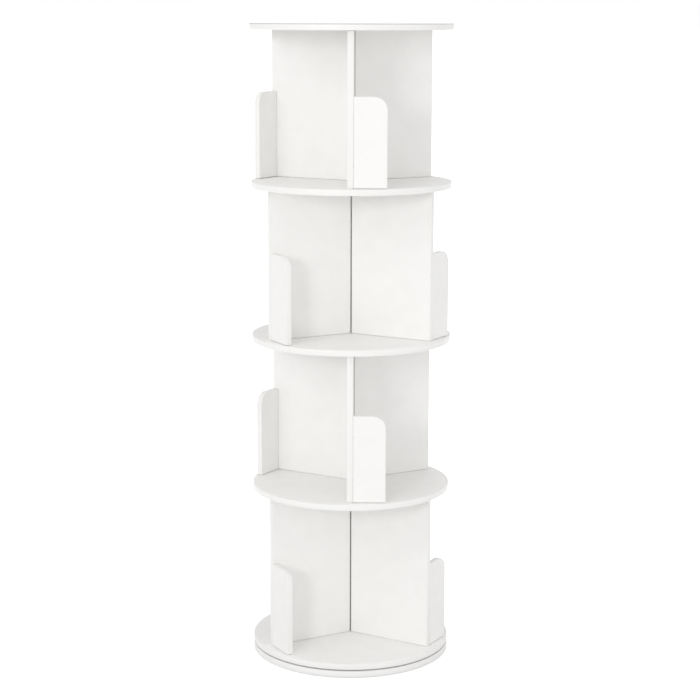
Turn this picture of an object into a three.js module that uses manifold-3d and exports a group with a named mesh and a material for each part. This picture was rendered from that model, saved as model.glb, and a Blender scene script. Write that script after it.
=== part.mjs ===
// Rotating media tower: four round tiers of open shelves that turn on a base disc.
// Lengths are in millimetres and +Z is up. The origin is on the floor, on the axis that the tower
// turns about. Angles run counterclockwise from +X, seen from above, and the front faces -Y.

import * as THREE from 'three'
import { mergeVertices } from 'three/addons/utils/BufferGeometryUtils.js'
import Module from 'manifold-3d'

const wasm = await Module()
wasm.setup()

// Driving dimensions: the whole tower, and how the tiers share its clear height, lowest first
const towerHeight = 1275
const discRadius = 200
const tierShares = [0.2615, 0.2451, 0.2469, 0.2465]

// Driving dimensions: the round boards, the pads under them and the seam that the tower turns on
const discThickness = 12
const discEdgeChamfer = 0.8
const footHeight = 2
const seamGap = 3

// Driving dimensions: the upright dividers, and the slit between two of them at the core
const dividerThickness = 12
const dividerSetback = 16
const coreSlit = 2.5

// Driving dimensions: the short stops that keep the media in
const stopThickness = 12
const stopReach = 64
const stopHeight = 173
const stopCornerRadius = 25

// Gaps between pieces that rest on each other, and around pieces that sit in a hole
const seatGap = 0.3
const holeGap = 0.3

// One overrun for every cut that has to pass a face
const overrun = 1

// Vertices closer than this are one vertex
const weldDistance = 0.0001

// Wooden dowels, glued into the ends of the dividers and of the stops
const dowelRadius = 3
const dowelReach = 6
const dividerDowelShares = [0.26, 0.82]
const stopDowelShares = [0.25, 0.75]

// Countersunk screws that hold the dividers, with a hexagon socket
const dividerScrewRadius = 2
const dividerScrewLength = 38
const dividerScrewTip = 4
const dividerScrewHeadRadius = 4
const dividerScrewHeadHeight = 2.6
const dividerScrewSocketRadius = 1.7
const dividerScrewSocketDepth = 1.6
const dividerScrewSink = 0.6
const dividerScrewShare = 0.54

// Countersunk screws that hold the bearing rings, and the wood left beyond their tips
const ringScrewRadius = 1.75
const ringScrewTip = 2.5
const ringScrewHeadRadius = 3.3
const ringScrewHeadHeight = 2.2
const ringScrewSocketRadius = 1.3
const ringScrewSocketDepth = 1.2
const ringScrewCover = 1.3
const ringScrewSink = 0.2

// Turntable bearing: two rings side by side, with balls between them
const ballCircleRadius = 60
const ballRadius = 2.2
const ballClearance = 0.3
const ringWidth = 13.8
const ringHeight = 8
const ringGap = 2.4
const ringRunningGap = 0.7
const cageThickness = 1.2
const cageHeight = 3.6
const pocketClearance = 1.5
const accessHoleRadius = 7

// Foot pads
const footRadius = 14
const footSetback = 35

// Counts, and the number of flats on each round shape
const dividersPerTier = 3
const ringScrewCount = 4
const ballCount = 18
const footCount = 4
const discSides = 72
const ringSides = 36
const footSides = 16
const screwSides = 10
const socketSides = 6
const dowelSides = 8
const ballSides = 8
const ballRows = 4
const cornerSides = 6

// Directions
const quarterTurn = Math.PI / 2
const halfTurn = Math.PI
const fullTurn = 2 * Math.PI
const oddTierTurn = quarterTurn
const evenTierTurn = quarterTurn + halfTurn
const innerRingScrewTurn = 0
const outerRingScrewTurn = quarterTurn / 2
const footTurn = quarterTurn / 2

// Looks
const boardLook = { color: 0xf2f1ee, roughness: 0.45, metalness: 0 }
const steelLook = { color: 0xb9bcc0, roughness: 0.35, metalness: 1 }
const ringLook = { color: 0xc9cbce, roughness: 0.4, metalness: 1 }
const cageLook = { color: 0xe6e4dc, roughness: 0.5, metalness: 0 }
const padLook = { color: 0xd9d7d2, roughness: 0.9, metalness: 0 }

// The tiers, each with its clear height and the direction of its first divider. Every tier has a
// board over it, and under the lowest are its own floor and the base.
const boardCount = tierShares.length + 2
const clearHeight = towerHeight - footHeight - seamGap - boardCount * discThickness
const tiers = tierShares.map((share, i) => ({
  number: i + 1,
  clear: share * clearHeight,
  turn: i % 2 === 0 ? oddTierTurn : evenTierTurn,
}))
const topTier = tiers[tiers.length - 1]

// Levels of the boards
const baseDiscLevel = footHeight
const baseDiscTop = baseDiscLevel + discThickness
const bottomDiscLevel = baseDiscTop + seamGap

// Inner end of the dividers: its corners leave the core slit between neighbours
const halfSpread = halfTurn / dividersPerTier
const innerEndRise = coreSlit / 2 + (dividerThickness / 2) * Math.cos(halfSpread)
const dividerInnerRadius = innerEndRise / Math.sin(halfSpread)
const dividerOuterRadius = discRadius - dividerSetback
const dividerLength = dividerOuterRadius - dividerInnerRadius
const dividerScrewPlace = dividerInnerRadius + dividerScrewShare * dividerLength
const dividerDowelPlaces = dividerDowelShares.map((share) => dividerInnerRadius + share * dividerLength)

// Stops: flush with the dividers' outer ends, against their counterclockwise faces
const stopMiddle = dividerOuterRadius - stopThickness / 2
const stopStart = dividerThickness / 2 + seatGap
const stopEnd = dividerThickness / 2 + stopReach
const stopDowelHeights = stopDowelShares.map((share) => share * stopHeight)

// Holes for the dowels are a little wider and deeper than the dowels
const dowelHoleRadius = dowelRadius + holeGap
const dowelHoleDepth = dowelReach + holeGap

// Bearing: each ring rests on one board and runs clear of the other
const pocketDepth = (ringHeight + ringRunningGap + seatGap - seamGap) / 2
const pocketFloor = baseDiscTop - pocketDepth
const innerRingLevel = pocketFloor + seatGap
const outerRingLevel = pocketFloor + ringRunningGap
const ballLevel = baseDiscTop + seamGap / 2
const innerRingOuterRadius = ballCircleRadius - ringGap / 2
const innerRingBore = innerRingOuterRadius - ringWidth
const outerRingBore = ballCircleRadius + ringGap / 2
const outerRingOuterRadius = outerRingBore + ringWidth
const grooveDepth = (ballRadius + ballClearance) * Math.SQRT2 - ringGap / 2
const innerRingScrewCircle = (innerRingBore + innerRingOuterRadius - grooveDepth) / 2
const outerRingScrewCircle = (outerRingOuterRadius + outerRingBore + grooveDepth) / 2
const pocketRadius = outerRingOuterRadius + pocketClearance
const ringScrewBite = discThickness - pocketDepth - ringScrewCover
const ringScrewLength = ringHeight - ringScrewSink + seatGap + ringScrewBite

// Foot pads, set back from the rim
const footCircleRadius = discRadius - footSetback

const dividerScrew = {
  radius: dividerScrewRadius,
  length: dividerScrewLength,
  tip: dividerScrewTip,
  headRadius: dividerScrewHeadRadius,
  headHeight: dividerScrewHeadHeight,
  socketRadius: dividerScrewSocketRadius,
  socketDepth: dividerScrewSocketDepth,
  sink: dividerScrewSink,
}
const ringScrew = {
  radius: ringScrewRadius,
  length: ringScrewLength,
  tip: ringScrewTip,
  headRadius: ringScrewHeadRadius,
  headHeight: ringScrewHeadHeight,
  socketRadius: ringScrewSocketRadius,
  socketDepth: ringScrewSocketDepth,
  sink: ringScrewSink,
}

// A closed three.js shape as a solid that can be cut and joined.
function solidOf(geometry) {
  const bare = geometry.clone()
  bare.deleteAttribute('normal')
  bare.deleteAttribute('uv')
  const welded = mergeVertices(bare, weldDistance)
  const index = welded.getIndex().array
  const triangles = []
  for (let i = 0; i < index.length; i += 3) {
    const [a, b, c] = index.slice(i, i + 3)
    if (a !== b && b !== c && c !== a) triangles.push(a, b, c)
  }
  const mesh = new wasm.Mesh({
    numProp: 3,
    vertProperties: new Float32Array(welded.getAttribute('position').array),
    triVerts: new Uint32Array(triangles),
  })
  return new wasm.Manifold(mesh)
}

// A finished solid as a named mesh with its own material.
function pieceOf(name, solid, look) {
  const { vertProperties, triVerts } = solid.getMesh()
  const geometry = new THREE.BufferGeometry()
  geometry.setAttribute('position', new THREE.BufferAttribute(vertProperties, 3))
  geometry.setIndex(new THREE.BufferAttribute(triVerts, 1))
  geometry.computeVertexNormals()
  const material = new THREE.MeshStandardMaterial({ ...look, flatShading: true })
  const mesh = new THREE.Mesh(geometry, material)
  mesh.name = name
  return mesh
}

// A solid with others cut out of it, or joined to it.
function cutFrom(solid, cutters) {
  return cutters.reduce((rest, cutter) => rest.subtract(cutter), solid)
}
function joinedTo(solid, others) {
  return others.reduce((whole, other) => whole.add(other), solid)
}

// A shape turned about the vertical axis, from points of radius and height.
function turned(profile, sides) {
  const points = profile.map(([radius, height]) => new THREE.Vector2(radius, height))
  return new THREE.LatheGeometry(points, sides).rotateX(quarterTurn)
}

// An upright cylinder between two heights.
function upright(radius, low, high, sides) {
  return turned([[0, low], [radius, low], [radius, high], [0, high]], sides)
}

// An upright ring between two heights.
function uprightRing(inner, outer, low, high, sides) {
  return turned([[inner, low], [outer, low], [outer, high], [inner, high], [inner, low]], sides)
}

// The shape moved out from the axis to a radius and a direction, and up to a height.
function movedTo(geometry, radius, angle, height) {
  const x = radius * Math.cos(angle)
  const y = radius * Math.sin(angle)
  return geometry.clone().translate(x, y, height)
}

// Directions spaced evenly round the axis.
function spread(count, first) {
  return Array.from({ length: count }, (_, i) => first + (i * fullTurn) / count)
}

// Letters that tell apart the copies of a piece.
function letter(i) {
  return 'abcdefghijkl'[i]
}

// A screw with its head's top at height 0, pointing down.
function screwSolid(screw) {
  const body = turned([
    [0, -screw.length],
    [screw.radius, screw.tip - screw.length],
    [screw.radius, -screw.headHeight],
    [screw.headRadius, 0],
    [0, 0],
  ], screwSides)
  const socket = upright(screw.socketRadius, -screw.socketDepth, overrun, socketSides)
  return solidOf(body).subtract(solidOf(socket))
}

// The hole that a screw sits in, open above its head as far as the board's face and past it.
function screwHole(screw) {
  return turned([
    [0, -screw.length - holeGap],
    [screw.radius + holeGap, screw.tip - screw.length],
    [screw.radius + holeGap, -screw.headHeight],
    [screw.headRadius + holeGap, 0],
    [screw.headRadius + holeGap, screw.sink + overrun],
    [0, screw.sink + overrun],
  ], screwSides)
}

// The same hole pointing up, with the head's face at height 0.
function screwHoleUp(screw) {
  return screwHole(screw).rotateX(halfTurn)
}

// A screw as a mesh, pointing down or up.
function screwPiece(name, screw, radius, angle, height, pointsUp) {
  const mesh = pieceOf(name, screwSolid(screw), steelLook)
  mesh.position.set(radius * Math.cos(angle), radius * Math.sin(angle), height)
  mesh.rotation.x = pointsUp ? halfTurn : 0
  return mesh
}

// A plain disc, its underside at height 0, with its rims eased.
function discSolid() {
  const flatRadius = discRadius - discEdgeChamfer
  const blank = turned([
    [0, 0],
    [flatRadius, 0],
    [discRadius, discEdgeChamfer],
    [discRadius, discThickness - discEdgeChamfer],
    [flatRadius, discThickness],
    [0, discThickness],
  ], discSides)
  return solidOf(blank)
}

// Dowel holes in a disc for the dividers of one tier, between two heights.
function dowelHoles(tier, low, high) {
  const hole = upright(dowelHoleRadius, low, high, dowelSides)
  return spread(dividersPerTier, tier.turn).flatMap((angle) =>
    dividerDowelPlaces.map((place) => solidOf(movedTo(hole, place, angle, 0))))
}

// Dowel holes for the dividers that stand on a disc, and for those that it rests on.
function dowelHolesAbove(tier) {
  return dowelHoles(tier, discThickness - dowelHoleDepth, discThickness + overrun)
}
function dowelHolesBelow(tier) {
  return dowelHoles(tier, -overrun, dowelHoleDepth)
}

// Countersunk holes in a disc's underside, for the screws of the dividers that stand on it.
function footScrewHoles(tier) {
  return spread(dividersPerTier, tier.turn).map((angle) =>
    solidOf(movedTo(screwHoleUp(dividerScrew), dividerScrewPlace, angle, dividerScrewSink)))
}

// Countersunk holes in the top disc's upper face.
function topScrewHoles(tier) {
  const height = discThickness - dividerScrewSink
  return spread(dividersPerTier, tier.turn).map((angle) =>
    solidOf(movedTo(screwHole(dividerScrew), dividerScrewPlace, angle, height)))
}

// Base disc: a pocket for the bearing, holes for the inner ring's screws, and one hole through
// which the outer ring's screws are reached as the tower is turned.
function baseDisc() {
  const pocket = upright(pocketRadius, discThickness - pocketDepth, discThickness + overrun, discSides)
  const access = upright(accessHoleRadius, -overrun, discThickness + overrun, footSides)
  const headHeight = innerRingLevel + ringHeight - ringScrewSink - baseDiscLevel
  const screwHoles = spread(ringScrewCount, innerRingScrewTurn).map((angle) =>
    solidOf(movedTo(screwHole(ringScrew), innerRingScrewCircle, angle, headHeight)))
  const cutters = [
    solidOf(pocket),
    solidOf(movedTo(access, outerRingScrewCircle, outerRingScrewTurn, 0)),
    ...screwHoles,
  ]
  const mesh = pieceOf('base_disc', cutFrom(discSolid(), cutters), boardLook)
  mesh.position.z = baseDiscLevel
  return mesh
}

// Bottom disc: the floor of the lowest tier, with a pocket for the bearing in its underside.
function bottomDisc(tier) {
  const pocket = upright(pocketRadius, -overrun, pocketDepth, discSides)
  const headHeight = outerRingLevel + ringScrewSink - bottomDiscLevel
  const screwHoles = spread(ringScrewCount, outerRingScrewTurn).map((angle) =>
    solidOf(movedTo(screwHoleUp(ringScrew), outerRingScrewCircle, angle, headHeight)))
  const cutters = [
    solidOf(pocket),
    ...screwHoles,
    ...dowelHolesAbove(tier),
    ...footScrewHoles(tier),
  ]
  const mesh = pieceOf('bottom_disc', cutFrom(discSolid(), cutters), boardLook)
  mesh.position.z = bottomDiscLevel
  return mesh
}

// Shelf disc: the ceiling of one tier and the floor of the next.
function shelfDisc(below, above, level) {
  const cutters = [
    ...dowelHolesBelow(below),
    ...dowelHolesAbove(above),
    ...footScrewHoles(above),
  ]
  const mesh = pieceOf(`shelf_disc_${above.number}`, cutFrom(discSolid(), cutters), boardLook)
  mesh.position.z = level
  return mesh
}

// Top disc: the ceiling of the highest tier.
function topDisc(below, level) {
  const cutters = [
    ...dowelHolesBelow(below),
    ...topScrewHoles(below),
  ]
  const mesh = pieceOf('top_disc', cutFrom(discSolid(), cutters), boardLook)
  mesh.position.z = level
  return mesh
}

// Divider: a board that runs out along +X from near the axis, its foot at the tier's floor.
// It carries its dowels, and has pilot holes for its screws and holes for the stop's dowels.
function dividerSolid(tier) {
  const height = tier.clear - 2 * seatGap
  const middle = dividerInnerRadius + dividerLength / 2
  const board = new THREE.BoxGeometry(dividerLength, dividerThickness, height)
    .translate(middle, 0, tier.clear / 2)
  const dowel = upright(dowelRadius, -dowelReach, dowelReach, dowelSides)
  const dowels = dividerDowelPlaces.flatMap((place) => [
    solidOf(movedTo(dowel, place, 0, 0)),
    solidOf(movedTo(dowel, place, 0, tier.clear)),
  ])
  const footHole = movedTo(screwHoleUp(dividerScrew), dividerScrewPlace, 0, dividerScrewSink - discThickness)
  const topHeight = tier.clear + discThickness - dividerScrewSink
  const topHole = movedTo(screwHole(dividerScrew), dividerScrewPlace, 0, topHeight)
  const screwHoles = tier === topTier ? [footHole, topHole] : [footHole]
  const stopHoleLength = dowelHoleDepth + overrun
  const stopHoleMiddle = dividerThickness / 2 - dowelHoleDepth + stopHoleLength / 2
  const stopHole = new THREE.CylinderGeometry(dowelHoleRadius, dowelHoleRadius, stopHoleLength, dowelSides)
  const stopHoles = stopDowelHeights.map((rise) =>
    stopHole.clone().translate(stopMiddle, stopHoleMiddle, rise))
  const cutters = [...screwHoles, ...stopHoles].map(solidOf)
  return cutFrom(joinedTo(solidOf(board), dowels), cutters)
}

// Media stop: a short board against the divider's counterclockwise face, with its free top
// corner rounded and two dowels that reach into the divider.
function stopSolid() {
  const outline = new THREE.Shape()
  outline.moveTo(stopStart, seatGap)
  outline.lineTo(stopEnd, seatGap)
  outline.lineTo(stopEnd, stopHeight - stopCornerRadius)
  outline.absarc(stopEnd - stopCornerRadius, stopHeight - stopCornerRadius, stopCornerRadius, 0, quarterTurn)
  outline.lineTo(stopStart, stopHeight)
  outline.closePath()
  const board = new THREE.ExtrudeGeometry(outline, {
    depth: stopThickness,
    bevelEnabled: false,
    curveSegments: cornerSides,
  })
  const outward = new THREE.Vector3(1, 0, 0)
  const sideways = new THREE.Vector3(0, 1, 0)
  const up = new THREE.Vector3(0, 0, 1)
  board.applyMatrix4(new THREE.Matrix4().makeBasis(sideways, up, outward))
  board.translate(dividerOuterRadius - stopThickness, 0, 0)
  const dowelStart = dividerThickness / 2 - dowelReach
  const dowelEnd = stopStart + dowelReach
  const dowel = new THREE.CylinderGeometry(dowelRadius, dowelRadius, dowelEnd - dowelStart, dowelSides)
  const dowels = stopDowelHeights.map((rise) =>
    solidOf(dowel.clone().translate(stopMiddle, (dowelStart + dowelEnd) / 2, rise)))
  return joinedTo(solidOf(board), dowels)
}

// One tier: its dividers, each with its stop and the screw that holds its foot.
function tierGroup(tier, floor) {
  const group = new THREE.Group()
  group.position.z = floor
  spread(dividersPerTier, tier.turn).forEach((angle, i) => {
    const copy = `${tier.number}_${letter(i)}`
    const arm = new THREE.Group()
    arm.rotation.z = angle
    arm.add(pieceOf(`divider_${copy}`, dividerSolid(tier), boardLook))
    arm.add(pieceOf(`media_stop_${copy}`, stopSolid(), boardLook))
    const screwName = `divider_screw_${copy}`
    arm.add(screwPiece(screwName, dividerScrew, dividerScrewPlace, 0, dividerScrewSink - discThickness, true))
    group.add(arm)
  })
  return group
}

// The screws through the top disc.
function topScrews(tier, level) {
  const height = level + discThickness - dividerScrewSink
  return spread(dividersPerTier, tier.turn).map((angle, i) =>
    screwPiece(`top_screw_${letter(i)}`, dividerScrew, dividerScrewPlace, angle, height, false))
}

// Inner bearing ring, with a groove round its outside for the balls.
function innerRing() {
  const groove = ballLevel - innerRingLevel
  const profile = [
    [innerRingBore, 0],
    [innerRingOuterRadius, 0],
    [innerRingOuterRadius, groove - grooveDepth],
    [innerRingOuterRadius - grooveDepth, groove],
    [innerRingOuterRadius, groove + grooveDepth],
    [innerRingOuterRadius, ringHeight],
    [innerRingBore, ringHeight],
    [innerRingBore, 0],
  ]
  const height = ringHeight - ringScrewSink
  const holes = spread(ringScrewCount, innerRingScrewTurn).map((angle) =>
    solidOf(movedTo(screwHole(ringScrew), innerRingScrewCircle, angle, height)))
  const ring = cutFrom(solidOf(turned(profile, ringSides)), holes)
  const mesh = pieceOf('bearing_inner_ring', ring, ringLook)
  mesh.position.z = innerRingLevel
  return mesh
}

// Outer bearing ring, with a groove round its inside for the balls.
function outerRing() {
  const groove = ballLevel - outerRingLevel
  const profile = [
    [outerRingBore, 0],
    [outerRingOuterRadius, 0],
    [outerRingOuterRadius, ringHeight],
    [outerRingBore, ringHeight],
    [outerRingBore, groove + grooveDepth],
    [outerRingBore + grooveDepth, groove],
    [outerRingBore, groove - grooveDepth],
    [outerRingBore, 0],
  ]
  const holes = spread(ringScrewCount, outerRingScrewTurn).map((angle) =>
    solidOf(movedTo(screwHoleUp(ringScrew), outerRingScrewCircle, angle, ringScrewSink)))
  const ring = cutFrom(solidOf(turned(profile, ringSides)), holes)
  const mesh = pieceOf('bearing_outer_ring', ring, ringLook)
  mesh.position.z = outerRingLevel
  return mesh
}

// Ball cage: a thin ring that holds the balls, one body with them.
function ballCage() {
  const inner = ballCircleRadius - cageThickness / 2
  const outer = ballCircleRadius + cageThickness / 2
  const ring = uprightRing(inner, outer, -cageHeight / 2, cageHeight / 2, ringSides)
  const ball = new THREE.SphereGeometry(ballRadius, ballSides, ballRows)
  const balls = spread(ballCount, 0).map((angle) =>
    solidOf(movedTo(ball, ballCircleRadius, angle, 0)))
  const mesh = pieceOf('bearing_ball_cage', joinedTo(solidOf(ring), balls), cageLook)
  mesh.position.z = ballLevel
  return mesh
}

// The screws of both bearing rings.
function ringScrews() {
  const innerHeight = innerRingLevel + ringHeight - ringScrewSink
  const inner = spread(ringScrewCount, innerRingScrewTurn).map((angle, i) =>
    screwPiece(`inner_ring_screw_${letter(i)}`, ringScrew, innerRingScrewCircle, angle, innerHeight, false))
  const outerHeight = outerRingLevel + ringScrewSink
  const outer = spread(ringScrewCount, outerRingScrewTurn).map((angle, i) =>
    screwPiece(`outer_ring_screw_${letter(i)}`, ringScrew, outerRingScrewCircle, angle, outerHeight, true))
  return [...inner, ...outer]
}

// Foot pads under the base disc.
function footPads() {
  const height = footHeight - seatGap
  const pad = upright(footRadius, 0, height, footSides)
  return spread(footCount, footTurn).map((angle, i) =>
    pieceOf(`foot_pad_${letter(i)}`, solidOf(movedTo(pad, footCircleRadius, angle, 0)), padLook))
}

// The whole tower, from the floor up.
const group = new THREE.Group()
group.add(...footPads(), baseDisc())
group.add(innerRing(), ballCage(), outerRing(), ...ringScrews())
group.add(bottomDisc(tiers[0]))
let floor = bottomDiscLevel + discThickness
tiers.forEach((tier, i) => {
  group.add(tierGroup(tier, floor))
  const ceiling = floor + tier.clear
  if (tier === topTier) {
    group.add(topDisc(tier, ceiling), ...topScrews(tier, ceiling))
  } else {
    group.add(shelfDisc(tier, tiers[i + 1], ceiling))
  }
  floor = ceiling + discThickness
})

export default group
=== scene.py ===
# %% [markdown]
# # A rotating media tower
# The tower is a stack of round white boards with upright dividers between them. Each of its four
# tiers holds books, discs and games in three bays, and short rounded stops keep them from sliding
# out. All of it turns on a flat bearing that is hidden between the two lowest boards.
#
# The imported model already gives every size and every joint. This script dresses it: each board is
# modelled again with the eased edges and the edging of real furniture board, the screws and the
# bearing get their true forms, and every surface gets a finish that is drawn by nodes.

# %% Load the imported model
import math

import bpy
from mathutils import Matrix, Vector


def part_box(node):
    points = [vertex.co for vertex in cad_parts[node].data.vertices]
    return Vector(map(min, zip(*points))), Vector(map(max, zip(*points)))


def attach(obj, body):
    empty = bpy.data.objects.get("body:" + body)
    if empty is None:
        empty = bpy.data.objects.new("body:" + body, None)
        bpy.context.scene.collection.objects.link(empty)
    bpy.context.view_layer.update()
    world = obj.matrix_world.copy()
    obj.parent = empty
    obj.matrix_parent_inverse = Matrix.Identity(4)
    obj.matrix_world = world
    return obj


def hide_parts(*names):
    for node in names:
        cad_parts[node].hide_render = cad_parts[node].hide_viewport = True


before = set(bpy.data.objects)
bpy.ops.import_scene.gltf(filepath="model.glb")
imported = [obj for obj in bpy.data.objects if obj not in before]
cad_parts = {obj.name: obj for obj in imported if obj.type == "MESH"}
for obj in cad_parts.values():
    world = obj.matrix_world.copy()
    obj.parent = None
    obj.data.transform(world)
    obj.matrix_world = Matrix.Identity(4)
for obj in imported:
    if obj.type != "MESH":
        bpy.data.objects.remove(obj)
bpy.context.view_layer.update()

print("packed model:", len(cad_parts), "nodes")

# %% [markdown]
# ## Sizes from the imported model
# Nothing is measured twice. The round boards give the levels of the tiers, one divider gives its
# own reach and thickness, and one stop gives how far it stands out. Furniture makers speak in
# millimetres, so one name holds a millimetre, and everything stays in metres. Two places that
# lie less than a hair apart count as the same.

# %% Read the sizes
mm = 0.001
hair = 0.01 * mm
round_boards = ["base_disc", "bottom_disc", "shelf_disc_2", "shelf_disc_3", "shelf_disc_4", "top_disc"]
underside = {name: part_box(name)[0].z for name in round_boards}
upper_face = {name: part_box(name)[1].z for name in round_boards}
disc_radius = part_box("top_disc")[1].x
floors = [upper_face[name] for name in round_boards[1:5]]
ceilings = [underside[name] for name in round_boards[2:]]
divider_low, divider_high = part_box("divider_1_a")
divider_inner, divider_outer = divider_low.y, divider_high.y
board_thickness = divider_high.x - divider_low.x
stop_low, stop_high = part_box("media_stop_1_a")
stop_reach = -stop_low.x
stop_height = stop_high.z - floors[0]
resting_gap = stop_low.z - floors[0]
print("disc radius %.0f mm, tiers %s mm" % (disc_radius / mm,
      [round((top - low) / mm) for low, top in zip(floors, ceilings)]))

# %% [markdown]
# ## The camera
# The photograph was taken from about the height of the top board, a little to the right of the
# front divider, with a long lens that keeps the sides nearly parallel. The rims of the six boards
# are ellipses, and the height and distance of the camera follow from how flat each of them is.
# A matrix places the camera: heading, tilt and a slight roll, one after the other. The focal
# length is in millimetres, for a film that is 36 mm wide.

# %% Place the camera
view_side, view_distance, view_height = math.radians(0.62), 3.5597, 1.288
view_heading, view_tilt, view_roll = math.radians(0.653), math.radians(10.566), math.radians(0.115)
film_width, focal_length = 36, 91.89

camera_data = bpy.data.cameras.new("camera")
camera_data.sensor_width = film_width
camera_data.lens = focal_length
camera = bpy.data.objects.new("camera", camera_data)
bpy.context.scene.collection.objects.link(camera)
stand = (view_distance * math.sin(view_side), -view_distance * math.cos(view_side), view_height)
camera.matrix_world = (
    Matrix.Translation(stand)
    @ Matrix.Rotation(view_heading, 4, "Z")
    @ Matrix.Rotation(math.pi / 2 - view_tilt, 4, "X")
    @ Matrix.Rotation(view_roll, 4, "Z"))
bpy.context.scene.camera = camera
print("camera at", [round(v, 3) for v in camera.location])

# %% [markdown]
# ## Finishes
# A finish is a material whose nodes draw its grain, specks and relief. All of them read Object
# coordinates, which are metres in the tower's own frame, so a grain has one true size on every
# piece. These small helpers add the nodes that most of the finishes share.

# %% Helpers for the finishes
def shader_of(finish):
    return finish.node_tree.nodes["Principled BSDF"]


def new_finish(name, roughness, metallic=0.0):
    """A new material with its main shader, ready for nodes that draw its pattern."""
    finish = bpy.data.materials.new(name)
    finish.use_nodes = True
    shader_of(finish).inputs["Roughness"].default_value = roughness
    shader_of(finish).inputs["Metallic"].default_value = metallic
    return finish


def add_node(finish, kind, inputs, **settings):
    """One node. Inputs are given by name, as plain values or as sockets of other nodes."""
    node = finish.node_tree.nodes.new(kind)
    for key, value in settings.items():
        setattr(node, key, value)
    for key, value in inputs.items():
        if isinstance(value, bpy.types.NodeSocket):
            finish.node_tree.links.new(value, node.inputs[key])
        else:
            node.inputs[key].default_value = value
    return node


def arithmetic(finish, operation, *values):
    """The result of one sum on plain values or on sockets of other nodes."""
    return add_node(finish, "ShaderNodeMath", dict(enumerate(values)), operation=operation).outputs[0]


def place_on(finish, stretch=(1, 1, 1)):
    """The place on the piece, in metres, stretched along the axes."""
    place = add_node(finish, "ShaderNodeTexCoord", {}).outputs["Object"]
    return add_node(finish, "ShaderNodeMapping", {"Vector": place, "Scale": stretch}).outputs[0]


def parts_of(finish, place):
    """X, Y and Z of a place, each as a socket."""
    return add_node(finish, "ShaderNodeSeparateXYZ", {"Vector": place}).outputs


def length_of(finish, vector):
    return add_node(finish, "ShaderNodeVectorMath", {0: vector}, operation="LENGTH").outputs["Value"]


def cloud(finish, place, scale, detail=2.0, roughness=0.5):
    """Soft random blotches: scale is how many fit in a metre."""
    inputs = {"Vector": place, "Scale": scale, "Detail": detail, "Roughness": roughness}
    return add_node(finish, "ShaderNodeTexNoise", inputs).outputs[0]


def spread_to(finish, value, low=0.0, high=1.0, start=0.3, end=0.7):
    """The value's middle range, start to end, spread to low and high."""
    inputs = {"Value": value, "From Min": start, "From Max": end, "To Min": low, "To Max": high}
    return add_node(finish, "ShaderNodeMapRange", inputs).outputs[0]


def blend_colours(finish, amount, first, second):
    """The first colour where the amount is 0, and the second where it is 1."""
    node = add_node(finish, "ShaderNodeMix", {}, data_type="RGBA")
    sockets = {6: first, 7: second}
    finish.node_tree.links.new(amount, node.inputs[0])
    for index, colour in sockets.items():
        if isinstance(colour, bpy.types.NodeSocket):
            finish.node_tree.links.new(colour, node.inputs[index])
        else:
            node.inputs[index].default_value = (*colour, 1)
    return node.outputs[2]


def wire(finish, value, socket):
    finish.node_tree.links.new(value, shader_of(finish).inputs[socket])


def paint(finish, amount, first, second):
    """A blend of two colours, as the colour of the finish."""
    wire(finish, blend_colours(finish, amount, first, second), "Base Color")


def relief(finish, height, depth, strength):
    """A relief as deep as depth metres, from a height between 0 and 1."""
    bump = add_node(finish, "ShaderNodeBump", {"Strength": strength, "Distance": depth, "Height": height})
    wire(finish, bump.outputs[0], "Normal")


# %% [markdown]
# ### White melamine
# The broad faces are furniture board with a film of white melamine. Close by, such a film is not
# smooth: it is pressed with a fine pearl grain, it is a little shinier in some places than in
# others, and the white is mottled by less than one part in fifty. Each of these is one noise.

# %% White melamine
melamine = new_finish("white_melamine", roughness=0.52)
shader_of(melamine).inputs["Specular IOR Level"].default_value = 0.35
place = place_on(melamine)
mottle = spread_to(melamine, cloud(melamine, place, scale=28, detail=3))
speck = spread_to(melamine, cloud(melamine, place, scale=520), high=0.35, start=0.58, end=0.75)
white = blend_colours(melamine, mottle, (0.898, 0.892, 0.878), (0.922, 0.916, 0.902))
paint(melamine, speck, white, (0.84, 0.83, 0.81))
wire(melamine, spread_to(melamine, cloud(melamine, place, scale=60), low=0.47, high=0.60), "Roughness")
relief(melamine, cloud(melamine, place, scale=1500, roughness=0.6), depth=0.06 * mm, strength=0.5)
print("finish:", melamine.name)

# %% [markdown]
# ### Edging
# A strip of white plastic is glued round the cut edge of each board. It is smoother and a touch
# brighter than the faces, and the roller that pressed it on left fine streaks along its length.
# On a disc the streaks run level round the rim, so their noise is drawn out sideways, and on the
# uprights it is drawn out in height. At the back of each disc the two ends of the strip meet in
# one fine upright line.

# %% Edging for the rims and for the uprights
def edging(name, stretch):
    """A finish with fine streaks, and its white, which isn't wired yet."""
    finish = new_finish(name, roughness=0.36)
    streaks = cloud(finish, place_on(finish, stretch), scale=1)
    white = blend_colours(finish, spread_to(finish, streaks), (0.872, 0.866, 0.852), (0.894, 0.888, 0.874))
    wire(finish, spread_to(finish, streaks, low=0.38, high=0.50), "Roughness")
    relief(finish, streaks, depth=0.03 * mm, strength=0.5)
    return finish, white


along, across = 5, 1600
rim_edging, rim_white = edging("rim_edging", (along, along, across))
upright_edging, upright_white = edging("upright_edging", (across, across, along))
wire(upright_edging, upright_white, "Base Color")

joint_side, joint_half_width, far_back = 21 * mm, 0.14 * mm, 150 * mm
where = parts_of(rim_edging, place_on(rim_edging))
beside = arithmetic(rim_edging, "COMPARE", where["X"], joint_side, joint_half_width)
behind = arithmetic(rim_edging, "GREATER_THAN", where["Y"], far_back)
joint = arithmetic(rim_edging, "MULTIPLY", beside, behind)
paint(rim_edging, joint, rim_white, (0.42, 0.40, 0.36))
print("finishes:", rim_edging.name, upright_edging.name)

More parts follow.
